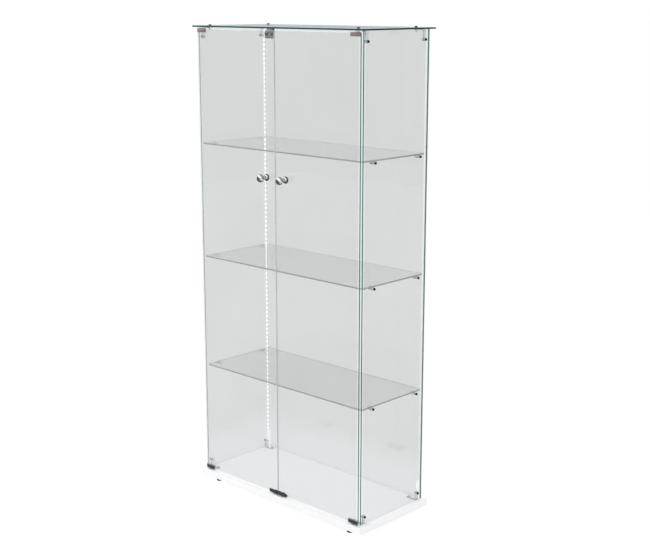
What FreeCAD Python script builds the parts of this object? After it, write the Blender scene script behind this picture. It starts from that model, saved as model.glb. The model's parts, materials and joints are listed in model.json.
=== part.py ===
import FreeCAD, Part
import os
import re
import Sketcher

# Two-door glass display cabinet, millimetres. X runs to the right, Y to the back, Z up.
# The origin lies on the floor, under the middle of everything the cabinet spans.

driving_sizes = {
    # base board, top plate and the four panels
    "cabinet_width": 795,
    "base_depth": 350,
    "base_thickness": 24,
    "base_edge_chamfer": 0.8,
    "top_depth": 344,
    "panel_height": 1610,
    "glass_thickness": 5,
    "glass_arris": 0.4,
    "side_inset": 16,
    "back_inset": 15,
    "door_setback": 9,
    "side_setback": 6,
    # feet
    "foot_height": 16,
    "foot_diameter": 18,
    "foot_chamfer": 1.5,
    "foot_front_inset": 26,
    "foot_side_inset": 70,
    # shelves and what holds them
    "lower_clear_height": 396.5,
    "shelf_clear_height": 400,
    "shelf_side_gap": 3,
    "shelf_rear_gap": 2,
    "shelf_setback": 6.5,
    "support_diameter": 9,
    "support_length": 18,
    "support_flat_height": 3.5,
    "support_chamfer": 0.8,
    "support_front_inset": 55,
    "support_rear_inset": 38,
    "pad_thickness": 1,
    "pad_width": 5,
    "pad_length": 12,
    "support_head_diameter": 7.5,
    "support_head_height": 3,
    # screws through the glass
    "screw_diameter": 4,
    "screw_bore_depth": 14,
    "screw_end_gap": 1,
    "fit_clearance": 0.05,
    "glass_hole_clearance": 1,
    "washer_diameter": 9,
    "washer_thickness": 1,
    "head_dome_height": 0.8,
    "recess_diameter": 2.6,
    "recess_depth": 1.2,
    "recess_tip_share": 0.5,
    "head_side_share": 0.7,
    # corner brackets
    "bracket_width": 12,
    "bracket_thickness": 3.5,
    "bracket_chamfer": 0.4,
    "bracket_screw_reach": 34,
    "bracket_end_margin": 6,
    "bracket_drop": 33,
    "bracket_rise": 26,
    "bracket_spread": 277,
    "boss_diameter": 8,
    "boss_length": 6,
    "side_head_diameter": 8,
    "side_head_height": 4.5,
    "top_head_diameter": 9.5,
    "top_head_height": 3,
    "wood_head_diameter": 7.5,
    "wood_head_height": 2.4,
    "wood_screw_depth": 15,
    "wood_screw_tip": 4,
    # doors
    "door_split_gap": 3,
    "door_end_inset": 4.5,
    "door_lower_gap": 4,
    "door_upper_gap": 4.5,
    "clamp_length": 41,
    "clamp_height": 14,
    "clamp_wall": 1.5,
    "clamp_chamfer": 0.4,
    "clamp_end_inset": 0.7,
    "liner_thickness": 0.5,
    "clamp_screw_spread": 24,
    "clamp_screw_height": 7.5,
    "clamp_screw_diameter": 3.5,
    "clamp_head_diameter": 6,
    "clamp_head_height": 1.4,
    # pivots
    "pivot_inset": 12,
    "pin_diameter": 6,
    "pin_depth": 6,
    "pin_upper_reach": 3.5,
    "bush_diameter": 10,
    "bush_depth": 8,
    "hinge_plate_length": 24,
    "hinge_plate_width": 13,
    "lower_plate_thickness": 1.2,
    "upper_plate_thickness": 3,
    "plate_screw_spread": 16,
    "plate_head_diameter": 4,
    "plate_head_height": 1,
    "plate_screw_diameter": 2.5,
    "plate_chamfer": 0.3,
    # strikes and magnetic catches
    "strike_length": 39.5,
    "strike_height": 13,
    "strike_wall": 2,
    "base_catch_width": 70,
    "base_catch_depth": 12,
    "base_catch_height": 11,
    "base_catch_screw_spread": 24,
    "base_catch_gap": 0.5,
    "catch_chamfer": 0.6,
    "magnet_diameter": 8,
    "magnet_thickness": 3,
    "magnet_height": 5.5,
    "magnet_spread": 42,
    "top_catch_width": 38,
    "top_catch_depth": 8.4,
    "top_catch_height": 26,
    "top_catch_inset": 8,
    "top_catch_neck_height": 6,
    "top_catch_neck_margin": 5,
    "top_magnet_spread": 28,
    "top_strike_thickness": 2.5,
    "top_strike_diameter": 10,
    "top_catch_gap": 0.5,
    # knobs
    "knob_inset": 43.5,
    "knob_rise": 1121.5,
    "knob_length": 36,
    "knob_diameter": 27,
    "knob_head_length": 20,
    "knob_face_diameter": 15,
    "knob_face_round": 3.5,
    "knob_neck_diameter": 12,
    "knob_swell_share": 0.35,
    "knob_crest_share": 0.5,
    "rosette_diameter": 20,
    "rosette_thickness": 3,
    "rosette_rim_share": 0.5,
    "rosette_cone_share": 2,
    "back_cap_diameter": 25,
    "back_cap_thickness": 6,
    "back_cap_round": 1.8,
    "knob_screw_head_diameter": 8,
    "knob_screw_head_height": 2.5,
    # light strips in the two rear corners
    "strip_width": 8,
    "strip_thickness": 0.6,
    "strip_wall_gap": 1,
    "strip_upper_gap": 3,
    "chip_size": 5,
    "chip_height": 1.4,
    "chip_pitch": 16.7,
    "connector_height": 65,
    "connector_width": 9,
    "connector_depth": 9,
    "connector_chamfer": 0.8,
}

tiny = 1e-9
radius_match = 1e-6
doc = FreeCAD.newDocument("DisplayCabinet")
sheet = doc.addObject("Spreadsheet::Sheet", "Sizes")
for row, (name, number) in enumerate(driving_sizes.items(), start=1):
    sheet.set(f"A{row}", str(number))
    sheet.setAlias(f"A{row}", name)
doc.recompute()

nodes = []


def formula(text):
    """Turns a sum of size names into one that the document can follow."""
    return re.sub(r"[a-z_]+_[a-z_]+", lambda word: "Sizes." + word.group(), text)


def value(text):
    return float(sheet.evalExpression(formula(text)))


def bind(thing, **formulas):
    """Ties properties to sizes; a double underscore stands for the dot in a name."""
    for prop, text in formulas.items():
        thing.setExpression(prop.replace("__", "."), formula(text))


def put(thing, place, facing=(0, 0, 1)):
    """Places an object by sums of sizes, with its own Z turned to the way it faces."""
    turn = FreeCAD.Rotation(FreeCAD.Vector(0, 0, 1), FreeCAD.Vector(*facing))
    thing.Placement = FreeCAD.Placement(FreeCAD.Vector(), turn)
    x, y, z = place
    bind(thing, Placement__Base__x=x, Placement__Base__y=y, Placement__Base__z=z)


def keep(thing, label):
    """Names a finished sub-part."""
    thing.Label = label
    nodes.append(thing)
    return thing


def new_body(label, place, facing=(0, 0, 1)):
    body = doc.addObject("PartDesign::Body", label)
    put(body, place, facing)
    return body


def new_sketch(body, role, lift=None):
    """Adds a sketch on one of the body's own planes, lifted off it along its normal."""
    plane = next(item for item in body.Origin.OriginFeatures if item.Role == role)
    sketch = body.newObject("Sketcher::SketchObject", body.Name + "_sketch")
    sketch.AttachmentSupport = [(plane, "")]
    sketch.MapMode = "FlatFace"
    if lift:
        bind(sketch, AttachmentOffset__Base__z=lift)
    return sketch


def tie_point(sketch, geometry, vertex, across, up):
    """Holds a point of a sketch at two sizes from the sketch's origin."""
    for kind, distance, axis in (("DistanceX", across, -2), ("DistanceY", up, -1)):
        if abs(value(distance)) < tiny:
            sketch.addConstraint(Sketcher.Constraint("PointOnObject", geometry, vertex, axis))
        else:
            tied = Sketcher.Constraint(kind, -1, 1, geometry, vertex, value(distance))
            index = sketch.addConstraint(tied)
            bind(sketch, **{f"Constraints[{index}]": distance})


def draw_outline(sketch, points):
    """Draws a closed run of straight lines through points given as (across, up)."""
    spots = [FreeCAD.Vector(value(across), value(up), 0) for across, up in points]
    count = len(points)
    for index in range(count):
        line = Part.LineSegment(spots[index], spots[(index + 1) % count])
        sketch.addGeometry(line, False)
    for index in range(count):
        joined = Sketcher.Constraint("Coincident", index, 2, (index + 1) % count, 1)
        sketch.addConstraint(joined)
    for index, (across, up) in enumerate(points):
        tie_point(sketch, index, 1, across, up)


def draw_circles(sketch, holes):
    """Draws circles given as (across, up, diameter)."""
    for index, (across, up, diameter) in enumerate(holes):
        centre = FreeCAD.Vector(value(across), value(up), 0)
        circle = Part.Circle(centre, FreeCAD.Vector(0, 0, 1), value(diameter) / 2)
        sketch.addGeometry(circle, False)
        tie_point(sketch, index, 3, across, up)
        round_size = sketch.addConstraint(Sketcher.Constraint("Diameter", index, value(diameter)))
        bind(sketch, **{f"Constraints[{round_size}]": diameter})


def rectangle(across, up):
    return [("0", "0"), (across, "0"), (across, up), ("0", up)]


def pad(body, sketch, length, **settings):
    feature = body.newObject("PartDesign::Pad", body.Name + "_pad")
    feature.Profile = sketch
    bind(feature, Length=length)
    for name, setting in settings.items():
        setattr(feature, name, setting)
    doc.recompute()
    return feature


def bevel(body, size, edges=None, kind="Chamfer"):
    """Breaks the edges of the body so far, or only the edges named."""
    before = body.Tip
    feature = body.newObject("PartDesign::" + kind, body.Name + "_edges")
    feature.Base = (before, edges or [""])
    feature.UseAllEdges = edges is None
    bind(feature, **{"Radius" if kind == "Fillet" else "Size": size})
    doc.recompute()
    return feature


def drill(body, role, holes, depth=None, lift=None):
    """Cuts round holes through the body, or to a depth down from the lifted plane."""
    before = body.Shape.Volume
    sketch = new_sketch(body, role, lift)
    draw_circles(sketch, holes)
    feature = body.newObject("PartDesign::Pocket", body.Name + "_holes")
    feature.Profile = sketch
    if depth:
        bind(feature, Length=depth)
    else:
        feature.Type = "ThroughAll"
        feature.SideType = "Symmetric"
    doc.recompute()
    if not body.Shape.Volume < before:
        raise ValueError(body.Label + ": a hole cuts nothing")
    return feature


def prism(label, role, outline, length, place, edge=None):
    """Extrudes an outline drawn on one of the body's planes, towards +X, +Y or +Z."""
    body = new_body(label, place)
    sketch = new_sketch(body, role)
    draw_outline(sketch, outline)
    pad(body, sketch, length, Reversed=(role == "XZ_Plane"))
    if edge:
        bevel(body, edge)
    return body


def turned(label, outline, place, facing=(0, 0, 1)):
    """Turns an outline, given as (radius, along), about the body's own Z axis."""
    body = new_body(label, place, facing)
    sketch = new_sketch(body, "XZ_Plane")
    draw_outline(sketch, outline)
    feature = body.newObject("PartDesign::Revolution", body.Name + "_turn")
    feature.Profile = sketch
    feature.ReferenceAxis = (sketch, ["V_Axis"])
    doc.recompute()
    return body


def group(label, members):
    """Keeps several like solids as one sub-part."""
    bundle = doc.addObject("Part::Compound", label)
    bundle.Links = members
    return keep(bundle, label)


def screw_outline(head_diameter, head_height, shank_diameter, shank_length, tip=None):
    """Outline of a screw from the crown of its head, with a small drive recess."""
    head, shank = f"{head_diameter} / 2", f"{shank_diameter} / 2"
    end = f"{head_height} + {shank_length}"
    points = [
        ("0", "recess_depth * {0} / ({0} + recess_depth)".format(head_height)),
        ("recess_diameter / 2 * recess_tip_share", "0"),
        (f"{head} - head_dome_height", "0"),
        (head, f"{head_height} * (1 - head_side_share)"),
        (head, head_height),
        (shank, head_height),
    ]
    if tip:
        return points + [(shank, f"{end} - {tip}"), ("0", end)]
    return points + [(shank, end), ("0", end)]


def ring_outline(inner_diameter, outer_diameter, height):
    inner, outer = f"{inner_diameter} / 2", f"{outer_diameter} / 2"
    return [(inner, "0"), (outer, "0"), (outer, height), (inner, height)]


def low_side(sign, near, far):
    """Lower X of a stretch from near to far, on the right or mirrored to the left."""
    return near if sign > 0 else f"-({far})"


def at_side(sign, distance):
    return distance if sign > 0 else f"-({distance})"


# Levels
base_top = "(foot_height + base_thickness)"
glass_top = f"({base_top} + panel_height)"
shelf_under = {
    "lower": f"({base_top} + lower_clear_height)",
    "middle": f"({base_top} + lower_clear_height + glass_thickness + shelf_clear_height)",
    "upper": f"({base_top} + lower_clear_height + 2 * (glass_thickness + shelf_clear_height))",
}

# Front to back; the board's middle is set so that the origin halves the whole depth
middle = "((knob_length - door_setback) / 2)"
base_front = f"({middle} - base_depth / 2)"
door_front = f"({base_front} + door_setback)"
door_rear = f"({door_front} + glass_thickness)"
side_front = f"({door_rear} + side_setback)"
back_outer = f"({middle} + base_depth / 2 - back_inset)"
back_inner = f"({back_outer} - glass_thickness)"
side_depth = f"({back_outer} - {side_front})"
shelf_front = f"({side_front} + shelf_setback)"
shelf_depth = f"({back_inner} - shelf_rear_gap - {shelf_front})"
pivot_y = f"({door_front} + glass_thickness / 2)"
bracket_rows = (f"({middle} - bracket_spread / 2)", f"({middle} + bracket_spread / 2)")
support_rows = (f"({side_front} + support_front_inset)", f"({back_outer} - support_rear_inset)")

# Distances from the middle plane
side_outer = "(cabinet_width / 2 - side_inset)"
side_inner = f"({side_outer} - glass_thickness)"
door_end = f"({side_outer} - door_end_inset)"
door_near = "(door_split_gap / 2)"
door_width = f"({door_end} - {door_near})"
shelf_half = f"({side_inner} - shelf_side_gap)"
pivot_x = f"({door_end} - pivot_inset)"
bracket_screw_x = f"({side_inner} - bracket_screw_reach)"
knob_x = f"({door_near} + knob_inset)"

# Doors and their fittings
clamp_cover = "(clamp_wall + liner_thickness)"
clamp_depth = f"(glass_thickness + 2 * {clamp_cover})"
lower_clamp_z = f"({base_top} + door_lower_gap)"
upper_clamp_top = f"({glass_top} - door_upper_gap)"
door_bottom = f"({lower_clamp_z} + {clamp_cover})"
door_top = f"({upper_clamp_top} - {clamp_cover})"
screw_hole = "(screw_diameter + 2 * fit_clearance)"
glass_hole = "(screw_diameter + 2 * glass_hole_clearance)"
bush_seat = "(bush_diameter + 2 * fit_clearance)"
pin_seat = "(pin_diameter + 2 * fit_clearance)"
support_axis_drop = "(support_flat_height + pad_thickness)"

sides = (("left", -1), ("right", 1))


def make_base():
    """White board with edge bands, drilled for the bushes and the screws."""
    body = prism("base_board", "XY_Plane", rectangle("cabinet_width", "base_depth"),
                 "base_thickness", ("-cabinet_width / 2", base_front, "foot_height"),
                 "base_edge_chamfer")
    half = "cabinet_width / 2"
    bores, pilots, small_pilots = [], [], []
    for _, sign in sides:
        bores.append((f"{half} + {at_side(sign, pivot_x)}", f"{pivot_y} - {base_front}", bush_seat))
        for row in bracket_rows:
            pilots.append((f"{half} + {at_side(sign, bracket_screw_x)}",
                           f"{row} - {base_front}", screw_hole))
        pilots.append((f"{half} + {at_side(sign, 'base_catch_screw_spread / 2')}",
                       f"{base_catch_front} + base_catch_depth / 2 - {base_front}", screw_hole))
        for end in (-1, 1):
            across = f"{half} + {at_side(sign, pivot_x)} + {end} * plate_screw_spread / 2"
            small_pilots.append((across, f"{pivot_y} - {base_front}",
                                 "plate_screw_diameter + 2 * fit_clearance"))
    drill(body, "XY_Plane", bores, "bush_depth", "base_thickness")
    drill(body, "XY_Plane", pilots, "wood_screw_depth + screw_end_gap", "base_thickness")
    drill(body, "XY_Plane", small_pilots, "bush_depth", "base_thickness")
    keep(body, "base_board")


def make_feet():
    foot_x = "(cabinet_width / 2 - foot_side_inset)"
    rows = (("front", f"{base_front} + foot_front_inset"),
            ("rear", f"{middle} + base_depth / 2 - foot_front_inset"))
    outline = [("0", "0"), ("foot_diameter / 2 - foot_chamfer", "0"),
               ("foot_diameter / 2", "foot_chamfer"), ("foot_diameter / 2", "foot_height"),
               ("0", "foot_height")]
    for side, sign in sides:
        for row, y in rows:
            label = f"{side}_{row}_foot"
            keep(turned(label, outline, (at_side(sign, foot_x), y, "0")), label)


def make_panels():
    """Back, sides and top, cut from one thickness of glass and drilled for the screws."""
    back = prism("back_panel", "XZ_Plane", rectangle(f"2 * {side_inner}", "panel_height"),
                 "glass_thickness", (f"-{side_inner}", back_inner, base_top), "glass_arris")
    keep(back, "back_panel")
    holes = [(f"{row} - {side_front}", height, glass_hole)
             for row in bracket_rows for height in ("bracket_rise", "panel_height - bracket_drop")]
    for level in shelf_under.values():
        for row in support_rows:
            holes.append((f"{row} - {side_front}",
                          f"{level} - {support_axis_drop} - {base_top}", glass_hole))
    for side, sign in sides:
        label = f"{side}_side_panel"
        place = (low_side(sign, side_inner, side_outer), side_front, base_top)
        panel = prism(label, "YZ_Plane", rectangle(side_depth, "panel_height"),
                      "glass_thickness", place, "glass_arris")
        drill(panel, "YZ_Plane", holes)
        keep(panel, label)
    top_front = f"({middle} - top_depth / 2)"
    top = prism("top_panel", "XY_Plane", rectangle("cabinet_width", "top_depth"),
                "glass_thickness", ("-cabinet_width / 2", top_front, glass_top), "glass_arris")
    drill(top, "XY_Plane", [(f"cabinet_width / 2 + {at_side(sign, bracket_screw_x)}",
                             f"{row} - {top_front}", glass_hole)
                            for _, sign in sides for row in bracket_rows])
    keep(top, "top_panel")


def make_shelves():
    """Three loose shelves, each on four padded supports screwed through the sides."""
    screws, pads = [], []
    for level, under in shelf_under.items():
        label = f"{level}_shelf"
        shelf = prism(label, "XY_Plane", rectangle(f"2 * {shelf_half}", shelf_depth),
                      "glass_thickness", (f"-{shelf_half}", shelf_front, under), "glass_arris")
        keep(shelf, label)
        axis_z = f"{under} - {support_axis_drop}"
        supports = []
        for side, sign in sides:
            for row in support_rows:
                supports.append(make_support(f"{level}_{side}_support", sign, row, axis_z))
                outline = screw_outline("support_head_diameter", "support_head_height",
                                        "screw_diameter",
                                        "(glass_thickness + screw_bore_depth - screw_end_gap)")
                place = (at_side(sign, f"{side_outer} + support_head_height"), row, axis_z)
                screws.append(turned("support_screw", outline, place, (-sign, 0, 0)))
                reach = f"({shelf_half} - support_chamfer)"
                place = (low_side(sign, f"{reach} - pad_length", reach),
                         f"{row} - pad_width / 2", f"{under} - pad_thickness")
                pads.append(prism("support_pad", "XY_Plane", rectangle("pad_length", "pad_width"),
                                  "pad_thickness", place))
        group(f"{level}_shelf_supports", supports)
    group("shelf_support_screws", screws)
    group("shelf_support_pads", pads)


def make_support(label, sign, row, axis_z):
    """Round stud against the glass, bored for its screw and milled flat on top."""
    radius = "support_diameter / 2"
    outline = [("0", "screw_bore_depth"), (f"{screw_hole} / 2", "screw_bore_depth"),
               (f"{screw_hole} / 2", "0"), (radius, "0"),
               (radius, "support_length - support_chamfer"),
               (f"{radius} - support_chamfer", "support_length"), ("0", "support_length")]
    stud = turned(label, outline, (at_side(sign, side_inner), row, axis_z), (-sign, 0, 0))
    mill = doc.addObject("Part::Box", "support_mill")
    bind(mill, Length="2 * support_length", Width="2 * support_diameter",
         Height="support_diameter")
    put(mill, (f"{at_side(sign, side_inner)} - support_length", f"{row} - support_diameter",
               f"{axis_z} + support_flat_height"))
    flat = doc.addObject("Part::Cut", label)
    flat.Base = stud
    flat.Tool = mill
    return flat


def make_bracket(label, sign, row, upper):
    """Bent strip with two threaded bosses: one leg on the side panel, one on a plate."""
    rise = "bracket_drop" if upper else "bracket_rise"
    width = "(bracket_screw_reach + bracket_end_margin)"
    height = f"({rise} + bracket_end_margin)"
    thick = "bracket_thickness"
    corner = [("0", "0"), (width, "0"), (width, height), (f"{width} - {thick}", height),
              (f"{width} - {thick}", thick), ("0", thick)]
    if sign < 0:
        corner = [(f"{width} - ({across})", up) for across, up in corner]
    if upper:
        corner = [(across, f"{height} - ({up})") for across, up in corner]
    inner_end = f"({side_inner} - {width})"
    low_z = f"{glass_top} - {height}" if upper else base_top
    place = (low_side(sign, inner_end, side_inner), f"{row} - bracket_width / 2", low_z)
    strip = prism(label + "_strip", "XZ_Plane", corner, "bracket_width", place, "bracket_chamfer")
    side_z = f"{glass_top} - bracket_drop" if upper else f"{base_top} + bracket_rise"
    plate_z = f"{glass_top} - {thick}" if upper else f"{base_top} + {thick}"
    side_place = (at_side(sign, f"{side_inner} - {thick}"), row, side_z)
    plate_place = (at_side(sign, bracket_screw_x), row, plate_z)
    side_boss = cylinder("boss_diameter", "boss_length", side_place, (-sign, 0, 0))
    solids = [strip, side_boss]
    bore_length = f"({thick} + boss_length)"
    side_bore = cylinder(screw_hole, f"2 * {bore_length}",
                         (at_side(sign, f"{side_inner} + {thick}"), row, side_z), (-sign, 0, 0))
    if upper:
        solids.append(cylinder("boss_diameter", "boss_length", plate_place, (0, 0, -1)))
    plate_bore = cylinder(screw_hole, f"2 * {bore_length}",
                          (at_side(sign, bracket_screw_x), row, f"{plate_z} - {bore_length}"))
    joined = doc.addObject("Part::MultiFuse", label + "_blank")
    joined.Shapes = solids
    bores = doc.addObject("Part::MultiFuse", label + "_bores")
    bores.Shapes = [side_bore, plate_bore]
    bracket = doc.addObject("Part::Cut", label)
    bracket.Base = joined
    bracket.Tool = bores
    keep(bracket, label)


def cylinder(diameter, length, place, facing=(0, 0, 1)):
    solid = doc.addObject("Part::Cylinder", "round")
    bind(solid, Radius=f"({diameter}) / 2", Height=length)
    put(solid, place, facing)
    return solid


def make_brackets():
    """Eight brackets with the screws and washers that hold the panels to them."""
    top_screws, side_screws, washers = [], [], []
    wood_screws = make_small_wood_screws()
    washer = ring_outline(screw_hole, "washer_diameter", "washer_thickness")
    shank = "(washer_thickness + glass_thickness + bracket_thickness + boss_length - screw_end_gap)"
    for side, sign in sides:
        for place_name, row in zip(("front", "rear"), bracket_rows):
            make_bracket(f"top_{side}_{place_name}_bracket", sign, row, True)
            make_bracket(f"base_{side}_{place_name}_bracket", sign, row, False)
            for axis_z in (f"{glass_top} - bracket_drop", f"{base_top} + bracket_rise"):
                head = at_side(sign, f"{side_outer} + washer_thickness + side_head_height")
                outline = screw_outline("side_head_diameter", "side_head_height",
                                        "screw_diameter", shank)
                side_screws.append(turned("side_screw", outline, (head, row, axis_z),
                                          (-sign, 0, 0)))
                washers.append(turned("washer", washer, (at_side(sign, side_outer), row, axis_z),
                                      (sign, 0, 0)))
            spot = at_side(sign, bracket_screw_x)
            top_face = f"{glass_top} + glass_thickness"
            outline = screw_outline("top_head_diameter", "top_head_height",
                                    "screw_diameter", shank)
            top_screws.append(turned("top_screw", outline,
                                     (spot, row, f"{top_face} + washer_thickness + top_head_height"),
                                     (0, 0, -1)))
            washers.append(turned("washer", washer, (spot, row, top_face)))
            outline = screw_outline("wood_head_diameter", "wood_head_height", "screw_diameter",
                                    "(bracket_thickness + wood_screw_depth)", "wood_screw_tip")
            head = f"{base_top} + bracket_thickness + wood_head_height"
            wood_screws.append(turned("wood_screw", outline, (spot, row, head), (0, 0, -1)))
    group("top_bracket_screws", top_screws)
    group("bracket_side_screws", side_screws)
    group("glass_washers", washers)
    group("wood_screws", wood_screws)


def make_small_wood_screws():
    """Screws of the lower hinge plates and of the catch on the base board."""
    screws = []
    catch_floor = "(base_catch_height - wood_head_height)"
    for _, sign in sides:
        for end in (-1, 1):
            outline = screw_outline("plate_head_diameter", "plate_head_height",
                                    "plate_screw_diameter",
                                    "(lower_plate_thickness + bush_depth - screw_end_gap)",
                                    "plate_screw_diameter")
            place = (f"{at_side(sign, pivot_x)} + {end} * plate_screw_spread / 2", pivot_y,
                     f"{base_top} + lower_plate_thickness + plate_head_height")
            screws.append(turned("plate_screw", outline, place, (0, 0, -1)))
        outline = screw_outline("wood_head_diameter", "wood_head_height", "screw_diameter",
                                f"({catch_floor} + wood_screw_depth)", "wood_screw_tip")
        place = (at_side(sign, "base_catch_screw_spread / 2"),
                 f"{base_catch_front} + base_catch_depth / 2", f"{base_top} + base_catch_height")
        screws.append(turned("catch_screw", outline, place, (0, 0, -1)))
    return screws


def make_pivots():
    """Plates and nylon bushes in which the doors turn, below on the board and above."""
    holes = [("hinge_plate_length / 2", "hinge_plate_width / 2", bush_seat)]
    screw_holes = [(f"(hinge_plate_length + {end} * plate_screw_spread) / 2",
                    "hinge_plate_width / 2", "plate_screw_diameter + 2 * fit_clearance")
                   for end in (-1, 1)]
    lower_plates, upper_plates, bushes = [], [], []
    for _, sign in sides:
        x, y = at_side(sign, pivot_x), f"{pivot_y} - hinge_plate_width / 2"
        low_x = f"{x} - hinge_plate_length / 2"
        outline = rectangle("hinge_plate_length", "hinge_plate_width")
        lower = prism("lower_plate", "XY_Plane", outline, "lower_plate_thickness",
                      (low_x, y, base_top), "plate_chamfer")
        drill(lower, "XY_Plane", holes + screw_holes)
        lower_plates.append(lower)
        upper = prism("upper_plate", "XY_Plane", outline, "upper_plate_thickness",
                      (low_x, y, f"{glass_top} - upper_plate_thickness"), "plate_chamfer")
        drill(upper, "XY_Plane", holes)
        upper_plates.append(upper)
        for height, z in (("(bush_depth + lower_plate_thickness)", f"{base_top} - bush_depth"),
                          ("upper_plate_thickness", f"{glass_top} - upper_plate_thickness")):
            bushes.append(turned("bush", ring_outline(pin_seat, "bush_diameter", height),
                                 (x, pivot_y, z)))
    group("lower_hinge_plates", lower_plates)
    group("upper_hinge_plates", upper_plates)
    group("pivot_bushes", bushes)


base_catch_front = f"({door_rear} + strike_wall + base_catch_gap)"
top_catch_front = f"({door_rear} + top_strike_thickness + top_catch_gap)"
top_catch_top = f"({glass_top} - top_catch_neck_height)"
top_catch_x = f"-({door_near} + top_catch_inset + top_catch_width / 2)"
top_catch_z = f"({top_catch_top} - top_catch_height / 2)"


def make_catches():
    """Two magnetic catches: a low block on the board and a case under the top plate."""
    magnet_hole = "magnet_diameter + 2 * fit_clearance"
    base_case = prism("base_catch_block", "XY_Plane",
                      rectangle("base_catch_width", "base_catch_depth"), "base_catch_height",
                      ("-base_catch_width / 2", base_catch_front, base_top), "catch_chamfer")
    screw_spots = [(f"(base_catch_width + {sign} * base_catch_screw_spread) / 2",
                    "base_catch_depth / 2") for _, sign in sides]
    drill(base_case, "XY_Plane", [(*spot, screw_hole) for spot in screw_spots])
    drill(base_case, "XY_Plane",
          [(*spot, "wood_head_diameter + 2 * fit_clearance") for spot in screw_spots],
          "wood_head_height", "base_catch_height")
    magnets = []
    sockets = []
    for _, sign in sides:
        place = (at_side(sign, "magnet_spread / 2"), base_catch_front,
                 f"{base_top} + magnet_height")
        sockets.append(cylinder(magnet_hole, "magnet_thickness", place, (0, 1, 0)))
        magnets.append(cylinder("magnet_diameter", "magnet_thickness", place, (0, 1, 0)))
    keep(cut_away("base_catch_case", base_case, sockets), "base_catch_case")

    case = prism("top_catch_box", "XY_Plane", rectangle("top_catch_width", "top_catch_depth"),
                 "top_catch_height",
                 (f"{top_catch_x} - top_catch_width / 2", top_catch_front,
                  f"{top_catch_top} - top_catch_height"), "catch_chamfer")
    neck = prism("top_catch_neck", "XY_Plane",
                 rectangle("top_catch_width - 2 * top_catch_neck_margin",
                           "top_catch_depth - top_catch_gap"), "top_catch_neck_height",
                 (f"{top_catch_x} - top_catch_width / 2 + top_catch_neck_margin",
                  f"{top_catch_front} + top_catch_gap", top_catch_top))
    joined = doc.addObject("Part::MultiFuse", "top_catch_blank")
    joined.Shapes = [case, neck]
    sockets = []
    for sign in (-1, 1):
        place = (f"{top_catch_x} + {sign} * top_magnet_spread / 2", top_catch_front, top_catch_z)
        sockets.append(cylinder(magnet_hole, "magnet_thickness", place, (0, 1, 0)))
        magnets.append(cylinder("magnet_diameter", "magnet_thickness", place, (0, 1, 0)))
    keep(cut_away("top_catch_case", joined, sockets), "top_catch_case")
    group("catch_magnets", magnets)


def cut_away(label, solid, tools):
    cutters = doc.addObject("Part::MultiFuse", label + "_cutters")
    cutters.Shapes = tools
    result = doc.addObject("Part::Cut", label)
    result.Base = solid
    result.Tool = cutters
    return result


def make_light_strips():
    """Strips of small lamps up both rear corners, each out of a connector on the board."""
    strip_low = f"({base_top} + connector_height)"
    strip_length = f"({glass_top} - strip_upper_gap - {strip_low})"
    chip_side_margin = "((strip_width - chip_size) / 2)"
    chip_end_margin = "((chip_pitch - chip_size) / 2)"
    for side, sign in sides:
        y = f"{back_inner} - strip_wall_gap - strip_width"
        label = f"{side}_light_strip"
        body = new_body(label, (at_side(sign, side_inner), y, strip_low))
        tape = new_sketch(body, "YZ_Plane")
        draw_outline(tape, rectangle("strip_width", strip_length))
        pad(body, tape, "strip_thickness", Reversed=(sign > 0))
        chip = new_sketch(body, "YZ_Plane")
        near, far = chip_side_margin, f"({chip_side_margin} + chip_size)"
        low, high = chip_end_margin, f"({chip_end_margin} + chip_size)"
        draw_outline(chip, [(near, low), (far, low), (far, high), (near, high)])
        lamp = pad(body, chip, "strip_thickness + chip_height", Reversed=(sign > 0))
        row = body.newObject("PartDesign::LinearPattern", label + "_row")
        row.Originals = [lamp]
        row.Direction = (chip, ["V_Axis"])
        row.Mode = "Spacing"
        bind(row, Offset="chip_pitch", Occurrences=f"floor({strip_length} / chip_pitch)")
        body.Tip = row
        doc.recompute()
        keep(body, label)
        label = f"{side}_strip_connector"
        place = (low_side(sign, f"{side_inner} - connector_depth", side_inner),
                 f"{back_inner} - connector_width", base_top)
        keep(prism(label, "XY_Plane", rectangle("connector_depth", "connector_width"),
                   "connector_height", place, "connector_chamfer"), label)


def channel(label, section, length, place, upper, edge=None):
    """Channel that grips the lower edge of a pane, or the upper one if it opens down."""
    wall, depth, height = section
    body = prism(label, "YZ_Plane", rectangle(depth, height), length, place, edge)
    before = body.Shape.Volume
    low, high = ("0", f"{height} - {wall}") if upper else (wall, height)
    far = f"{depth} - {wall}"
    slot = new_sketch(body, "YZ_Plane")
    draw_outline(slot, [(wall, low), (far, low), (far, high), (wall, high)])
    feature = body.newObject("PartDesign::Pocket", label + "_slot")
    feature.Profile = slot
    feature.Type = "ThroughAll"
    feature.SideType = "Symmetric"
    doc.recompute()
    if not body.Shape.Volume < before:
        raise ValueError(label + ": its slot cuts nothing")
    return body


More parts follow.
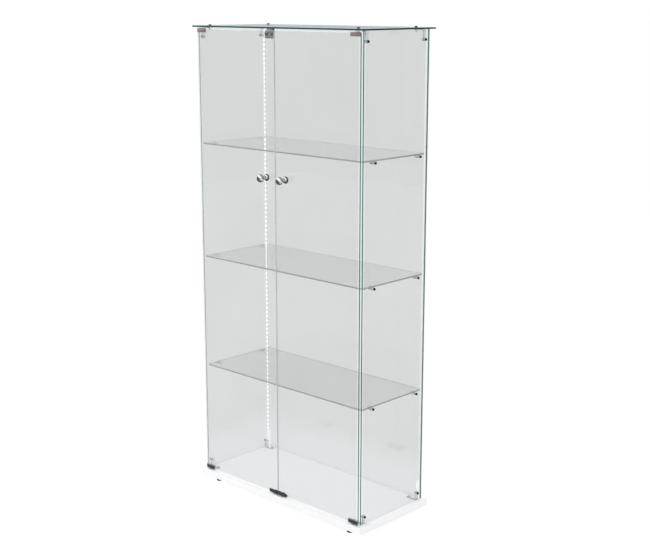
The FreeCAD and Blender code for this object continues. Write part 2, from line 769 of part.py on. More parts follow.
def make_clamp(side, sign, upper):
    """Hinge clamp: a lined channel over a corner of the door, with its pivot pin."""
    name = "upper" if upper else "lower"
    far = f"({door_end} - clamp_end_inset)"
    near = f"({far} - clamp_length)"
    low_x = low_side(sign, near, far)
    y = f"{door_front} - {clamp_cover}"
    z = f"{upper_clamp_top} - clamp_height" if upper else lower_clamp_z
    label = f"{side}_{name}_hinge_clamp"
    clamp = channel(label, ("clamp_wall", clamp_depth, "clamp_height"), "clamp_length",
                    (low_x, y, z), upper, "clamp_chamfer")
    pin_across = f"{at_side(sign, pivot_x)} - ({low_x})"
    drill(clamp, "XY_Plane", [(pin_across, f"{clamp_depth} / 2", pin_seat)])
    screw_up = "clamp_height - clamp_screw_height" if upper else "clamp_screw_height"
    screw_hole_size = "clamp_screw_diameter + 2 * fit_clearance"
    spots = [f"(clamp_length + {end} * clamp_screw_spread) / 2" for end in (-1, 1)]
    drill(clamp, "XZ_Plane", [(spot, screw_up, screw_hole_size) for spot in spots],
          "2 * clamp_wall", f"-({clamp_depth} - 2 * clamp_wall)")
    keep(clamp, label)

    liner_depth = "(glass_thickness + 2 * liner_thickness)"
    liner_height = "(clamp_height - clamp_wall)"
    liner_z = z if upper else f"{z} + clamp_wall"
    liner = channel("clamp_liner", ("liner_thickness", liner_depth, liner_height),
                    "clamp_length", (low_x, f"{y} + clamp_wall", liner_z), upper)

    outline = screw_outline("clamp_head_diameter", "clamp_head_height",
                            "clamp_screw_diameter", "clamp_wall")
    screws = [turned("clamp_screw", outline,
                     (f"{low_x} + {spot}", f"{y} + {clamp_depth} + clamp_head_height",
                      f"{z} + {screw_up}"), (0, -1, 0)) for spot in spots]

    if upper:
        length, low_z = "(clamp_wall + pin_upper_reach)", f"{upper_clamp_top} - clamp_wall"
    else:
        length = "(clamp_wall + door_lower_gap + pin_depth)"
        low_z = f"{base_top} - pin_depth"
    radius = "pin_diameter / 2"
    outline = [("0", "0"), (radius, "0"), (radius, length), ("0", length)]
    pin = turned("pivot_pin", outline, (at_side(sign, pivot_x), pivot_y, low_z))
    return liner, screws, pin


def make_knob(side, sign):
    """Turned knob in front of the pane, with a round cap and a screw behind it."""
    x, z = at_side(sign, knob_x), f"{base_top} + knob_rise"
    neck_end = "(knob_length - knob_head_length)"
    radius = "knob_diameter / 2"
    outline = [
        ("0", "screw_bore_depth"), (f"{screw_hole} / 2", "screw_bore_depth"),
        (f"{screw_hole} / 2", "0"), ("rosette_diameter / 2", "0"),
        ("rosette_diameter / 2", "rosette_thickness * rosette_rim_share"),
        ("knob_neck_diameter / 2", "rosette_thickness * rosette_cone_share"),
        ("knob_neck_diameter / 2", neck_end),
        (radius, f"{neck_end} + knob_head_length * knob_swell_share"),
        (radius, f"{neck_end} + knob_head_length * knob_crest_share"),
        ("knob_face_diameter / 2", "knob_length"), ("0", "knob_length")]
    knob = turned(f"{side}_knob", outline, (x, door_front, z), (0, -1, 0))
    wide, narrow = value(radius), value("knob_face_diameter / 2")
    rims = [f"Edge{index + 1}" for index, edge in enumerate(knob.Tip.Shape.Edges)
            if is_ring(edge, wide) or is_ring(edge, narrow)]
    bevel(knob, "knob_face_round", rims, "Fillet")
    keep(knob, f"{side}_knob")

    cap_radius = "back_cap_diameter / 2"
    well = "(knob_screw_head_diameter / 2 + fit_clearance)"
    floor = "(back_cap_thickness - knob_screw_head_height)"
    outline = [(f"{screw_hole} / 2", "0"), (cap_radius, "0"),
               (cap_radius, "back_cap_thickness - back_cap_round"),
               (f"{cap_radius} - back_cap_round", "back_cap_thickness"),
               (well, "back_cap_thickness"), (well, floor), (f"{screw_hole} / 2", floor)]
    keep(turned(f"{side}_knob_back_cap", outline, (x, door_rear, z), (0, 1, 0)),
         f"{side}_knob_back_cap")
    outline = screw_outline(
        "knob_screw_head_diameter", "knob_screw_head_height", "screw_diameter",
        f"({floor} + glass_thickness + screw_bore_depth - screw_end_gap)")
    keep(turned(f"{side}_knob_screw", outline, (x, f"{door_rear} + back_cap_thickness", z),
                (0, -1, 0)), f"{side}_knob_screw")


def is_ring(edge, radius):
    """Tells a full circle of one radius from the other edges of a turned piece."""
    curve = edge.Curve
    return isinstance(curve, Part.Circle) and abs(curve.Radius - radius) < radius_match


def make_door(side, sign):
    label = f"{side}_door_glass"
    place = (low_side(sign, door_near, door_end), door_front, door_bottom)
    pane = prism(label, "XZ_Plane", rectangle(door_width, f"({door_top} - {door_bottom})"),
                 "glass_thickness", place, "glass_arris")
    knob_across = "knob_inset" if sign > 0 else f"{door_width} - knob_inset"
    drill(pane, "XZ_Plane", [(knob_across, f"{base_top} + knob_rise - {door_bottom}", glass_hole)])
    keep(pane, label)

    liners, screws, pins = [], [], []
    for upper in (True, False):
        liner, clamp_screws, pin = make_clamp(side, sign, upper)
        liners.append(liner)
        screws += clamp_screws
        pins.append(pin)
    group(f"{side}_clamp_liners", liners)
    group(f"{side}_clamp_screws", screws)
    group(f"{side}_pivot_pins", pins)

    label = f"{side}_lower_strike_clip"
    strike_depth = "(glass_thickness + 2 * strike_wall)"
    place = (low_side(sign, door_near, f"{door_near} + strike_length"),
             f"{door_front} - strike_wall", f"{door_bottom} - strike_wall")
    keep(channel(label, ("strike_wall", strike_depth, "strike_height"), "strike_length",
                 place, False, "clamp_chamfer"), label)
    make_knob(side, sign)


def make_top_strikes():
    """Round steel plates on the left door, opposite the magnets under the top plate."""
    radius = "top_strike_diameter / 2"
    outline = [("0", "0"), (radius, "0"), (radius, "top_strike_thickness - plate_chamfer"),
               (f"{radius} - plate_chamfer", "top_strike_thickness"),
               ("0", "top_strike_thickness")]
    group("left_upper_strike", [
        turned("strike_disc", outline,
               (f"{top_catch_x} + {sign} * top_magnet_spread / 2", door_rear, top_catch_z),
               (0, 1, 0)) for sign in (-1, 1)])


make_base()
make_feet()
make_panels()
make_shelves()
make_brackets()
make_pivots()
make_catches()
make_light_strips()
for door_side, door_sign in sides:
    make_door(door_side, door_sign)
make_top_strikes()
doc.recompute()

for item in doc.Objects:
    if "Invalid" in item.State or "Error" in item.State:
        raise ValueError(f"{item.Label} is {item.State}")
os.makedirs("parts", exist_ok=True)
for node in nodes:
    if node.Shape.isNull() or not node.Shape.isValid():
        raise ValueError(node.Label + " has no valid shape")
    node.Shape.exportStep(f"parts/{node.Label}.step")
print(len(nodes), "sub-parts")
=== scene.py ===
import bpy
import bmesh
import json
import math
from mathutils import Matrix, Vector


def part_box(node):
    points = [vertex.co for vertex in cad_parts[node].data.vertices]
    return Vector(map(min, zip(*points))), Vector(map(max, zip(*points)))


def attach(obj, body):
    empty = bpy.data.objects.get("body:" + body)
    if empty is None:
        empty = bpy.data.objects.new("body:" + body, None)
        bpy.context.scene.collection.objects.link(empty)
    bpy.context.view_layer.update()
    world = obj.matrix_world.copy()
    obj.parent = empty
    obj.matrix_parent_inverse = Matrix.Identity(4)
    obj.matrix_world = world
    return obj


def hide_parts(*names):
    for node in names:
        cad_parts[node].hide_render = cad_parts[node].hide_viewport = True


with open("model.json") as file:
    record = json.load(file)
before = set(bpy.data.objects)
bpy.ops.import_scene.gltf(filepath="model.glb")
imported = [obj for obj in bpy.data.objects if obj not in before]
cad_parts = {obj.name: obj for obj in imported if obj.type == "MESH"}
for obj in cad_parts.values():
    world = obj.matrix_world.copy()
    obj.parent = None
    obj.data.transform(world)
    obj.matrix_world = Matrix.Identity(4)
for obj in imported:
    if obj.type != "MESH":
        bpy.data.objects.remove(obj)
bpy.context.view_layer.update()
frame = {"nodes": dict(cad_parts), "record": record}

nodes = frame["nodes"]
mm = 0.001
print("frame loaded:", len(nodes), "nodes")


# camera: the photo's own view, found from the cabinet's corners
cameraSettings = {
    "place": (2.86955, -2.93326, 1.7379),
    "tilt": 77.2305,      # degrees up from straight down
    "yaw": 43.5313,
    "focalPixels": 1212.7,
    "imageWidth": 650,
    "sensor": 36.0,
}


def makeCamera(s):
    camera = bpy.data.objects.new("photoCamera", bpy.data.cameras.new("photoCamera"))
    bpy.context.scene.collection.objects.link(camera)
    camera.location = s["place"]
    camera.rotation_euler = (math.radians(s["tilt"]), 0, math.radians(s["yaw"]))
    camera.data.sensor_width = s["sensor"]
    camera.data.sensor_fit = "HORIZONTAL"
    camera.data.lens = s["focalPixels"] / s["imageWidth"] * s["sensor"]
    bpy.context.scene.camera = camera


makeCamera(cameraSettings)
bpy.context.scene.view_settings.view_transform = "Standard"
print("camera placed")


# small helpers for node trees
def newMaterial(name):
    material = bpy.data.materials.new(name)
    material.use_nodes = True
    tree = material.node_tree
    return material, tree, tree.nodes["Principled BSDF"]


def addNode(tree, kind, **settings):
    node = tree.nodes.new(kind)
    for key, value in settings.items():
        setattr(node, key, value)
    return node


def noise(tree, scale, detail=3.0, stretch=(1, 1, 1)):
    mapping = addNode(tree, "ShaderNodeMapping")
    mapping.inputs["Scale"].default_value = stretch
    tree.links.new(addNode(tree, "ShaderNodeTexCoord").outputs["Object"], mapping.inputs["Vector"])
    texture = addNode(tree, "ShaderNodeTexNoise")
    texture.inputs["Scale"].default_value = scale
    texture.inputs["Detail"].default_value = detail
    tree.links.new(mapping.outputs["Vector"], texture.inputs["Vector"])
    return texture.outputs["Fac"]


def spread(tree, source, low, high, fromLow=0.35, fromHigh=0.65):
    node = addNode(tree, "ShaderNodeMapRange")
    ends = {"From Min": fromLow, "From Max": fromHigh, "To Min": low, "To Max": high}
    for name, value in ends.items():
        node.inputs[name].default_value = value
    tree.links.new(source, node.inputs["Value"])
    return node.outputs["Result"]


def blendColours(tree, factor, first, second):
    mix = addNode(tree, "ShaderNodeMix", data_type="RGBA")
    for socket, colour in ((mix.inputs[6], first), (mix.inputs[7], second)):
        if isinstance(colour, tuple):
            socket.default_value = (*colour, 1)
        else:
            tree.links.new(colour, socket)
    tree.links.new(factor, mix.inputs[0])
    return mix.outputs[2]


def mixShaders(tree, factor, first, second):
    mix = addNode(tree, "ShaderNodeMixShader")
    for socket, source in zip(mix.inputs, (factor, first, second)):
        if isinstance(source, float):
            socket.default_value = source
        else:
            tree.links.new(source, socket)
    return mix.outputs["Shader"]


def addBump(tree, shader, height, strength, distance):
    bump = addNode(tree, "ShaderNodeBump")
    bump.inputs["Strength"].default_value = strength
    bump.inputs["Distance"].default_value = distance
    tree.links.new(height, bump.inputs["Height"])
    tree.links.new(bump.outputs["Normal"], shader.inputs["Normal"])


def facing(tree, direction):      # how far the surface looks one way, -1 to 1, fixed to the piece
    dot = addNode(tree, "ShaderNodeVectorMath", operation="DOT_PRODUCT")
    tree.links.new(addNode(tree, "ShaderNodeTexCoord").outputs["Normal"], dot.inputs[0])
    dot.inputs[1].default_value = direction
    return dot.outputs["Value"]


def nearEdge(tree, way, corners, width):      # 1 at the end of a pane that lies that way, 0 further in
    along = addNode(tree, "ShaderNodeVectorMath", operation="DOT_PRODUCT")
    tree.links.new(addNode(tree, "ShaderNodeTexCoord").outputs["Object"], along.inputs[0])
    along.inputs[1].default_value = way
    end = max(Vector(corner).dot(Vector(way)) for corner in corners)
    return spread(tree, along.outputs["Value"], 0, 1, end - width, end - width / 2)


# clear glass: almost colourless through its faces, sea green where it is cut; the cut edges also carry
# painted shade and painted light, darker or paler edge by edge
glassSettings = {
    "face": (0.801, 0.809, 0.807),
    "faceCloud": (0.816, 0.824, 0.822),
    "shadow": (0.99, 0.99, 0.99),      # what one pane leaves of the light that falls through it
    "ior": 1.5,
    "edgeRoughness": 0.3,
    "cloudGrain": 3.0,
    "edgeTurn": (0.85, 0.95),      # a surface that looks along the thin axis by less is an edge
    "edgeDepth": 1 * mm,      # as far in as the broken corner of an edge reaches
    "edgeShine": 0.15,
    "edgeStreaks": 5.0,
}
edgeShades = {      # two shades each, for the light and the dark stretches along a cut edge; each set is the cut's sea green with painted shade or painted light
    "pale": ((0.82, 0.88, 0.87), (0.9, 0.95, 0.94)),
    "white": ((0.97, 0.985, 0.99), (1, 1, 1)),
    "mist": ((0.43, 0.48, 0.47), (0.55, 0.6, 0.59)),
    "grey": ((0.24, 0.29, 0.285), (0.33, 0.38, 0.375)),
    "teal": ((0.004, 0.06, 0.054), (0.014, 0.1, 0.09)),
    "deep": ((0.06, 0.14, 0.13), (0.1, 0.19, 0.18)),
    "shelf": ((0.24, 0.285, 0.28), (0.31, 0.36, 0.35)),
    "plate": ((0.003, 0.042, 0.04), (0.008, 0.068, 0.064)),
    "plateEnd": ((0.006, 0.014, 0.014), (0.012, 0.024, 0.024)),
}
left, right, front, rear = (-1, 0, 0), (1, 0, 0), (0, -1, 0), (0, 1, 0)
down, up = (0, 0, -1), (0, 0, 1)
paneSettings = {      # thin axis, and where each darker edge is, darkened with painted shade, and each white edge, lit with painted light; the others are pale
    "left_side_panel": (0, {front: "grey", down: "white"}),
    "right_side_panel": (0, {front: "teal", rear: "deep"}),
    "back_panel": (1, {right: "deep", down: "white"}),
    "left_door_glass": (1, {right: "mist"}),
    "right_door_glass": (1, {left: "mist", right: "teal"}),
    "top_panel": (2, {front: "plate", rear: "plate", left: "plateEnd", right: "plateEnd"}),
    "upper_shelf": (2, {front: "shelf", rear: "shelf", left: "shelf", right: "shelf"}),
}
paintedGlintSettings = {      # painted glint: the pale stretch of a cut edge, painted as if lit from within, and which side of the edge it lies on
    "sides": {("right_door_glass", right): rear, ("right_side_panel", front): left},
    "colour": (0.62, 1, 0.95),
    "width": 1.3 * mm,
}
paintedEdgeBloom = {"width": 9 * mm, "colour": (0.93, 1, 0.985)}      # painted light that gathers beside a cut edge
paintedBoardShine = {"width": 160 * mm, "colour": (0.855, 0.865, 0.88)}      # and a painted reflection of the white board, above it in the foot of the panes
# the glass's tint painted paler near one end of these panes: painted light and painted reflection
paintedBrightStretches = {
    "right_side_panel": (front, paintedEdgeBloom),
    "right_door_glass": (right, paintedEdgeBloom),
    "back_panel": (down, paintedBoardShine),
    "left_side_panel": (down, paintedBoardShine),
}
paintedSheenSettings = {      # painted reflection: the grey-blue shine painted on a face that looks up, seen almost edge on
    "share": 0.68,
    "slant": (0.7, 0.9),
    "level": (0.8, 0.95),
    "colour": (0.05, 0.13, 0.16),
    "cloud": (0.17, 0.25, 0.28),
    "roughness": 0.5,
}


def makeGlass(name, s, paintedSheen=None):
    thinAxis, edges = paneSettings[name]
    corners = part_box(name)
    material, tree, face = newMaterial(name + "_glass")
    face.inputs["Transmission Weight"].default_value = 1
    face.inputs["Roughness"].default_value = 0
    face.inputs["IOR"].default_value = s["ior"]
    cloud = spread(tree, noise(tree, s["cloudGrain"]), 0, 1)
    tint = blendColours(tree, cloud, s["face"], s["faceCloud"])
    # painted light and painted reflection in the tint near one end
    if name in paintedBrightStretches:
        way, stretch = paintedBrightStretches[name]
        paintedBright = nearEdge(tree, way, corners, stretch["width"])
        tint = blendColours(tree, paintedBright, tint, stretch["colour"])
    tree.links.new(tint, face.inputs["Base Color"])
    cut = addNode(tree, "ShaderNodeBsdfPrincipled")
    cut.inputs["Roughness"].default_value = s["edgeRoughness"]
    cut.inputs["Specular IOR Level"].default_value = s["edgeShine"]
    streaks = spread(tree, noise(tree, s["edgeStreaks"], 2.0), 0, 1)
    shade = blendColours(tree, streaks, *edgeShades["pale"])
    # each listed cut edge takes its own painted shade or painted light, some with a painted glint
    for way, kind in edges.items():
        own = blendColours(tree, streaks, *edgeShades[kind])
        side = paintedGlintSettings["sides"].get((name, way))
        if side:
            paintedGlint = nearEdge(tree, side, corners, paintedGlintSettings["width"])
            own = blendColours(tree, paintedGlint, own, paintedGlintSettings["colour"])
        shade = blendColours(tree, nearEdge(tree, way, corners, s["edgeDepth"]), shade, own)
    tree.links.new(shade, cut.inputs["Base Color"])
    split = addNode(tree, "ShaderNodeSeparateXYZ")
    tree.links.new(addNode(tree, "ShaderNodeTexCoord").outputs["Normal"], split.inputs["Vector"])
    size = addNode(tree, "ShaderNodeMath", operation="ABSOLUTE")
    tree.links.new(split.outputs[thinAxis], size.inputs[0])
    isEdge = spread(tree, size.outputs[0], 1, 0, *s["edgeTurn"])
    pane = face.outputs["BSDF"]
    # a painted grey-blue reflection, mixed in where the face looks up and is seen almost edge on
    if paintedSheen:
        paintedSheenShader = addNode(tree, "ShaderNodeBsdfPrincipled")
        paintedSheenShader.inputs["Roughness"].default_value = paintedSheen["roughness"]
        paintedSheenColour = blendColours(tree, cloud, paintedSheen["colour"], paintedSheen["cloud"])
        tree.links.new(paintedSheenColour, paintedSheenShader.inputs["Base Color"])
        slant = addNode(tree, "ShaderNodeLayerWeight").outputs["Facing"]
        share = addNode(tree, "ShaderNodeMath", operation="MULTIPLY")
        tree.links.new(spread(tree, facing(tree, up), 0, 1, *paintedSheen["level"]), share.inputs[0])
        tree.links.new(spread(tree, slant, 0, paintedSheen["share"], *paintedSheen["slant"]), share.inputs[1])
        pane = mixShaders(tree, share.outputs[0], pane, paintedSheenShader.outputs["BSDF"])
    glass = mixShaders(tree, isEdge, pane, cut.outputs["BSDF"])
    clear = addNode(tree, "ShaderNodeBsdfTransparent")
    clear.inputs["Color"].default_value = (*s["shadow"], 1)
    path = addNode(tree, "ShaderNodeLightPath")
    for ray in ("Is Shadow Ray", "Is Diffuse Ray"):      # light falls straight through
        glass = mixShaders(tree, path.outputs[ray], glass, clear.outputs["BSDF"])
    tree.links.new(glass, tree.nodes["Material Output"].inputs["Surface"])
    return material


# polished metal: painted reflections of a bright studio, painted highlight and painted shade by which
# way the surface faces, fixed to the piece
chromeSettings = {
    "paintedBright": (0.5, 0.42, 0.76),      # the way the painted light comes from, away from the painted dark side
    "paintedStops": ((0.0, 0.008), (0.2, 0.025), (0.31, 0.14), (0.41, 0.3), (0.49, 0.5), (0.57, 0.85),
              (0.66, 0.52), (0.8, 0.32), (0.89, 0.48), (1.0, 0.5)),
    "drift": 0.05,
    "driftGrain": 96,
    "cloud": (0.92, 1),
    "tint": (0.93, 0.98, 1.0),
    "roughness": (0.06, 0.14),
    "grain": 120,
    "wearGrain": 240,
}
# plain chrome parts: softer painted reflections, lit from higher up
softChromeSettings = dict(
    chromeSettings,
    paintedBright=(0.45, 0.2, 0.87),
    paintedStops=((0.0, 0.22), (0.25, 0.34), (0.4, 0.6), (0.55, 0.82), (0.75, 0.9), (1.0, 0.95)),
)
# the top catch: darker painted reflections, lit from the other side, with a purple-grey tint
catchChromeSettings = dict(
    chromeSettings,
    paintedBright=(-0.6, -0.7, 0.38),
    paintedStops=((0.0, 0.02), (0.2, 0.03), (0.3, 0.12), (0.6, 0.35), (0.75, 0.3), (0.9, 0.22), (1.0, 0.4)),
    tint=(0.92, 0.9, 1.0),
)


def makeChrome(name, s):
    material, tree, shader = newMaterial(name)
    ramp = addNode(tree, "ShaderNodeValToRGB")
    paintedStops = ramp.color_ramp.elements
    while len(paintedStops) < len(s["paintedStops"]):
        paintedStops.new(0.5)
    for stop, (place, level) in zip(paintedStops, s["paintedStops"]):
        stop.position = place
        stop.color = (*(level * part for part in s["tint"]), 1)
    drift = spread(tree, noise(tree, s["driftGrain"], 1), -s["drift"], s["drift"])
    level = addNode(tree, "ShaderNodeMath", operation="ADD")
    # the base colour is painted light and painted shade, read from which way the surface faces
    tree.links.new(spread(tree, facing(tree, s["paintedBright"]), 0, 1, -1, 1), level.inputs[0])
    tree.links.new(drift, level.inputs[1])
    tree.links.new(level.outputs[0], ramp.inputs["Fac"])
    cloud = spread(tree, noise(tree, s["grain"]), *s["cloud"])
    shade = addNode(tree, "ShaderNodeMix", data_type="RGBA", blend_type="MULTIPLY")
    shade.inputs[0].default_value = 1
    tree.links.new(ramp.outputs["Color"], shade.inputs[6])
    tree.links.new(cloud, shade.inputs[7])
    tree.links.new(shade.outputs[2], shader.inputs["Base Color"])
    shader.inputs["Metallic"].default_value = 1
    wear = spread(tree, noise(tree, s["wearGrain"]), *s["roughness"])
    tree.links.new(wear, shader.inputs["Roughness"])
    return material


# solid finishes
solidSettings = {
    "whiteBoard": {"colour": (0.93, 0.93, 0.942), "cloud": (0.915, 0.915, 0.927), "grain": 40,
                   "roughness": (0.32, 0.4), "bump": 0.00004,
                   "paintedFrontShade": (0.865, 0.865, 0.875), "paintedFrontShadeWidth": 10 * mm},      # painted shade along the board's front
    "blackRubber": {"colour": (0.006, 0.006, 0.006), "cloud": (0.012, 0.012, 0.012), "grain": 600,
                    "roughness": (0.45, 0.6), "bump": 0.00003, "shine": 0.15},
    "darkMetal": {"colour": (0.004, 0.004, 0.005), "cloud": (0.01, 0.01, 0.011), "grain": 300,
                  "roughness": (0.35, 0.5), "shine": 0.2},
    "bronzeMetal": {"colour": (0.235, 0.185, 0.18), "cloud": (0.18, 0.14, 0.14), "grain": 200,
                    "roughness": (0.25, 0.4), "metallic": 0.8, "stretch": (0.2, 3, 3)},
    "charcoalMetal": {"colour": (0.022, 0.023, 0.026), "cloud": (0.035, 0.036, 0.04), "grain": 200,
                      "roughness": (0.35, 0.5), "shine": 0.25, "stretch": (0.2, 3, 3)},
    "steel": {"colour": (0.5, 0.5, 0.5), "cloud": (0.42, 0.42, 0.42), "grain": 200,
              "roughness": (0.25, 0.4), "metallic": 1},
    "magnetNickel": {"colour": (0.045, 0.04, 0.055), "cloud": (0.08, 0.075, 0.09), "grain": 200,
                     "roughness": (0.3, 0.4), "metallic": 0.9},
    "nylon": {"colour": (0.72, 0.72, 0.69), "cloud": (0.66, 0.66, 0.63), "grain": 300,
              "roughness": (0.4, 0.55)},
    "washerPlastic": {"colour": (0.1, 0.1, 0.1), "cloud": (0.14, 0.14, 0.14), "grain": 300,
                      "roughness": (0.35, 0.5)},
    "softPad": {"colour": (0.4, 0.41, 0.41), "cloud": (0.48, 0.49, 0.49), "grain": 300,
                "roughness": (0.6, 0.8)},
    # painted light: the tape glows, though it is no lamp
    "lightTape": {"colour": (0.9, 0.91, 0.91), "cloud": (0.84, 0.85, 0.85), "grain": 120,
                  "roughness": (0.4, 0.5), "glow": 0.18},
    # painted light: the connectors glow, though they are no lamps
    "whitePlastic": {"colour": (0.88, 0.89, 0.92), "cloud": (0.84, 0.85, 0.88), "grain": 150,
                     "roughness": (0.3, 0.4), "glow": 0.27},
    "lampGlow": {"colour": (0.95, 0.95, 0.88), "cloud": (0.9, 0.9, 0.82), "grain": 400,
                 "roughness": (0.3, 0.4), "glow": 1.7},
    # painted light: the lamps' cases glow round their lit middles, though only the middles are lamps
    "lampCase": {"colour": (0.92, 0.92, 0.92), "cloud": (0.86, 0.86, 0.86), "grain": 300,
                 "roughness": (0.35, 0.45), "glow": 0.58},
    "solder": {"colour": (0.6, 0.5, 0.36), "cloud": (0.5, 0.4, 0.28), "grain": 400,
               "roughness": (0.25, 0.4), "metallic": 1},
    "resistor": {"colour": (0.22, 0.22, 0.23), "cloud": (0.3, 0.3, 0.31), "grain": 400,
                 "roughness": (0.35, 0.5)},
}


commonSolid = {      # what holds where a finish says nothing else
    "stretch": (1, 1, 1),
    "metallic": 0,
    "wearGrain": 2,      # times the finish's own grain
    "bumpGrain": 4,      # the same
    "bumpStrength": 0.3,
    "glowColour": (0.98, 1, 0.995),
}


def makeSolid(name, settings):
    s = {**commonSolid, **settings}
    material, tree, shader = newMaterial(name)
    stretch = s["stretch"]
    cloud = spread(tree, noise(tree, s["grain"], stretch=stretch), 0, 1)
    colour = blendColours(tree, cloud, s["colour"], s["cloud"])
    # painted shade on the front strip of the board
    if s.get("paintedFrontShade"):
        paintedShadeBand = nearEdge(tree, front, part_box("base_board"), s["paintedFrontShadeWidth"])
        colour = blendColours(tree, paintedShadeBand, colour, s["paintedFrontShade"])
    tree.links.new(colour, shader.inputs["Base Color"])
    wear = noise(tree, s["grain"] * s["wearGrain"], stretch=stretch)
    wear = spread(tree, wear, *s["roughness"])
    tree.links.new(wear, shader.inputs["Roughness"])
    shader.inputs["Metallic"].default_value = s["metallic"]
    if s.get("bump"):
        grain = noise(tree, s["grain"] * s["bumpGrain"])
        addBump(tree, shader, grain, s["bumpStrength"], s["bump"])
    if s.get("shine"):
        shader.inputs["Specular IOR Level"].default_value = s["shine"]
    # the lamps' middles glow as lamps; the tape, the lamps' cases and the connectors glow with painted
    # light
    if s.get("glow"):
        shader.inputs["Emission Color"].default_value = (*s["glowColour"], 1)
        shader.inputs["Emission Strength"].default_value = s["glow"]
    return material


finish = {name: makeSolid(name, s) for name, s in solidSettings.items()}
finish["chrome"] = makeChrome("polishedChrome", chromeSettings)
finish["softChrome"] = makeChrome("softChrome", softChromeSettings)
finish["catchChrome"] = makeChrome("catchChrome", catchChromeSettings)
slotFinish = {
    "white_board": "whiteBoard", "black_plastic": "blackRubber", "chrome": "softChrome",
    "dark_metal": "darkMetal", "bronze_metal": "bronzeMetal", "charcoal_metal": "charcoalMetal",
    "steel": "steel", "magnet": "magnetNickel", "nylon": "nylon", "clear_plastic": "washerPlastic",
    "rubber_pad": "softPad", "light_strip": "lightTape", "white_plastic": "whitePlastic",
}
slotOf = {part["node"]: part["material_slot"] for part in frame["record"]["subparts"]}
glassOf = {}
for name, slot in slotOf.items():
    if slot == "clear_glass":
        pane = "upper_shelf" if name.endswith("shelf") else name
        if pane not in glassOf:      # the shelves share one glass
            paintedSheen = paintedSheenSettings if pane == "top_panel" else None
            glassOf[pane] = makeGlass(pane, glassSettings, paintedSheen)
        material = glassOf[pane]
    else:
        material = finish["chrome" if "knob" in name else slotFinish[slot]]
    for holder in nodes[name].material_slots:
        holder.material = material
print("finishes set")


# shapes are built in millimetres about a piece's own axis, then placed on the cabinet
tiny = 1e-6
glassGap = 0.08      # pieces stand this far off a glass face, so that both stay clean in the render
sideSigns = (("left", -1), ("right", 1))


def boxOf(node):      # lowest and highest corner of a CAD node in millimetres
    low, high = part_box(node)
    return Vector(low) / mm, Vector(high) / mm


def outerX(low, high, sign):      # the side of a box that faces away from the cabinet's middle
    return high.x if sign > 0 else low.x


def place(spot, direction=(0, 0, 1)):      # own Z turned to face one way, own Y kept upright
    turn = Vector(direction).to_track_quat("Z", "Y").to_matrix().to_4x4()
    return Matrix.Translation(Vector(spot)) @ turn


def facingFront(y):      # own X and Y become the cabinet's X and Z, own Z runs forwards from y
    return Matrix.Translation((0, y, 0)) @ Matrix.Rotation(math.pi / 2, 4, "X")


# forms: what a round section becomes, as a factor on its radius at each angle
formSettings = {
    "cross": (1, 0.95, 0.42, 0.36, 0.42, 0.95),      # every 15 degrees, four times round
    "knurl": 0.06,
    "square": 10,      # the higher, the sharper its corners
}


def roundForm(angle):
    return 1


def hexagonForm(angle):
    return math.cos(math.pi / 6) / math.cos(angle % (math.pi / 3) - math.pi / 6)


def crossForm(angle):
    factors = formSettings["cross"]
    return factors[round(angle / (math.pi / 12)) % len(factors)]


def knurlForm(angle):
    return 1 - formSettings["knurl"] * (round(angle / (math.pi / 24)) % 2)


def squareForm(angle):
    power = formSettings["square"]
    return (math.cos(angle) ** power + math.sin(angle) ** power) ** (-1 / power)


def flatTopForm(angle):      # a stud milled flat for its shelf
    rise = math.sin(angle)
    return min(1, studSettings["flatShare"] / rise) if rise > 0 else 1


def turnOutline(shape, outline, matrix, steps=24):      # rows of (radius, along, form) about own Z
    before = None
    for radius, along, *form in outline:
        shapeOf = form[0] if form else roundForm
        if radius < tiny:
            ring = [shape.verts.new(matrix @ Vector((0, 0, along)))]
        else:
            ring = []
            for index in range(steps):
                angle = index * math.tau / steps
                reach = radius * shapeOf(angle)
                spot = Vector((reach * math.cos(angle), reach * math.sin(angle), along))
                ring.append(shape.verts.new(matrix @ spot))
        if before:
            for index in range(steps):
                corners = [before[index % len(before)], before[(index + 1) % len(before)],
                           ring[(index + 1) % len(ring)], ring[index % len(ring)]]
                shape.faces.new(list(dict.fromkeys(corners)))      # a point on the axis counts once
        before = ring


def offGlass(outline):      # what would lie on a pane stands off it by the gap
    return [(radius, along or glassGap, *form) for radius, along, *form in outline]


def roundCorners(points, radius, steps=4):      # arcs in place of the corners of a closed outline
    corners = [Vector(point) for point in points]
    radii = radius if isinstance(radius, tuple) else (radius,) * len(corners)
    outline = []
    for index, (corner, size) in enumerate(zip(corners, radii)):
        back = (corners[index - 1] - corner).normalized()
        on = (corners[(index + 1) % len(corners)] - corner).normalized()
        half = back.angle(on) / 2
        start, end = corner + back * size / math.tan(half), corner + on * size / math.tan(half)
        centre = corner + (back + on).normalized() * size / math.sin(half)
        for step in range(steps + 1):
            along = (start - centre).lerp(end - centre, step / steps)
            outline.append(centre + along.normalized() * size)
    return outline


def loftOutlines(shape, rows, matrix):      # closed outlines in own X and Y, each at its height on own Z
    rings = []
    for outline, along in rows:
        rings.append([shape.verts.new(matrix @ Vector((*spot, along))) for spot in outline])
    made = [shape.faces.new(rings[0]), shape.faces.new(rings[-1][::-1])]
    for before, ring in zip(rings, rings[1:]):
        for index in range(len(ring)):
            after = (index + 1) % len(ring)
            made.append(shape.faces.new((before[index], before[after], ring[after], ring[index])))
    return made


def extrudeOutline(shape, outline, matrix, length):
    return loftOutlines(shape, [(outline, 0), (outline, length)], matrix)


def rectangle(low, high):      # closed outline between two corners
    return [(low[0], low[1]), (high[0], low[1]), (high[0], high[1]), (low[0], high[1])]


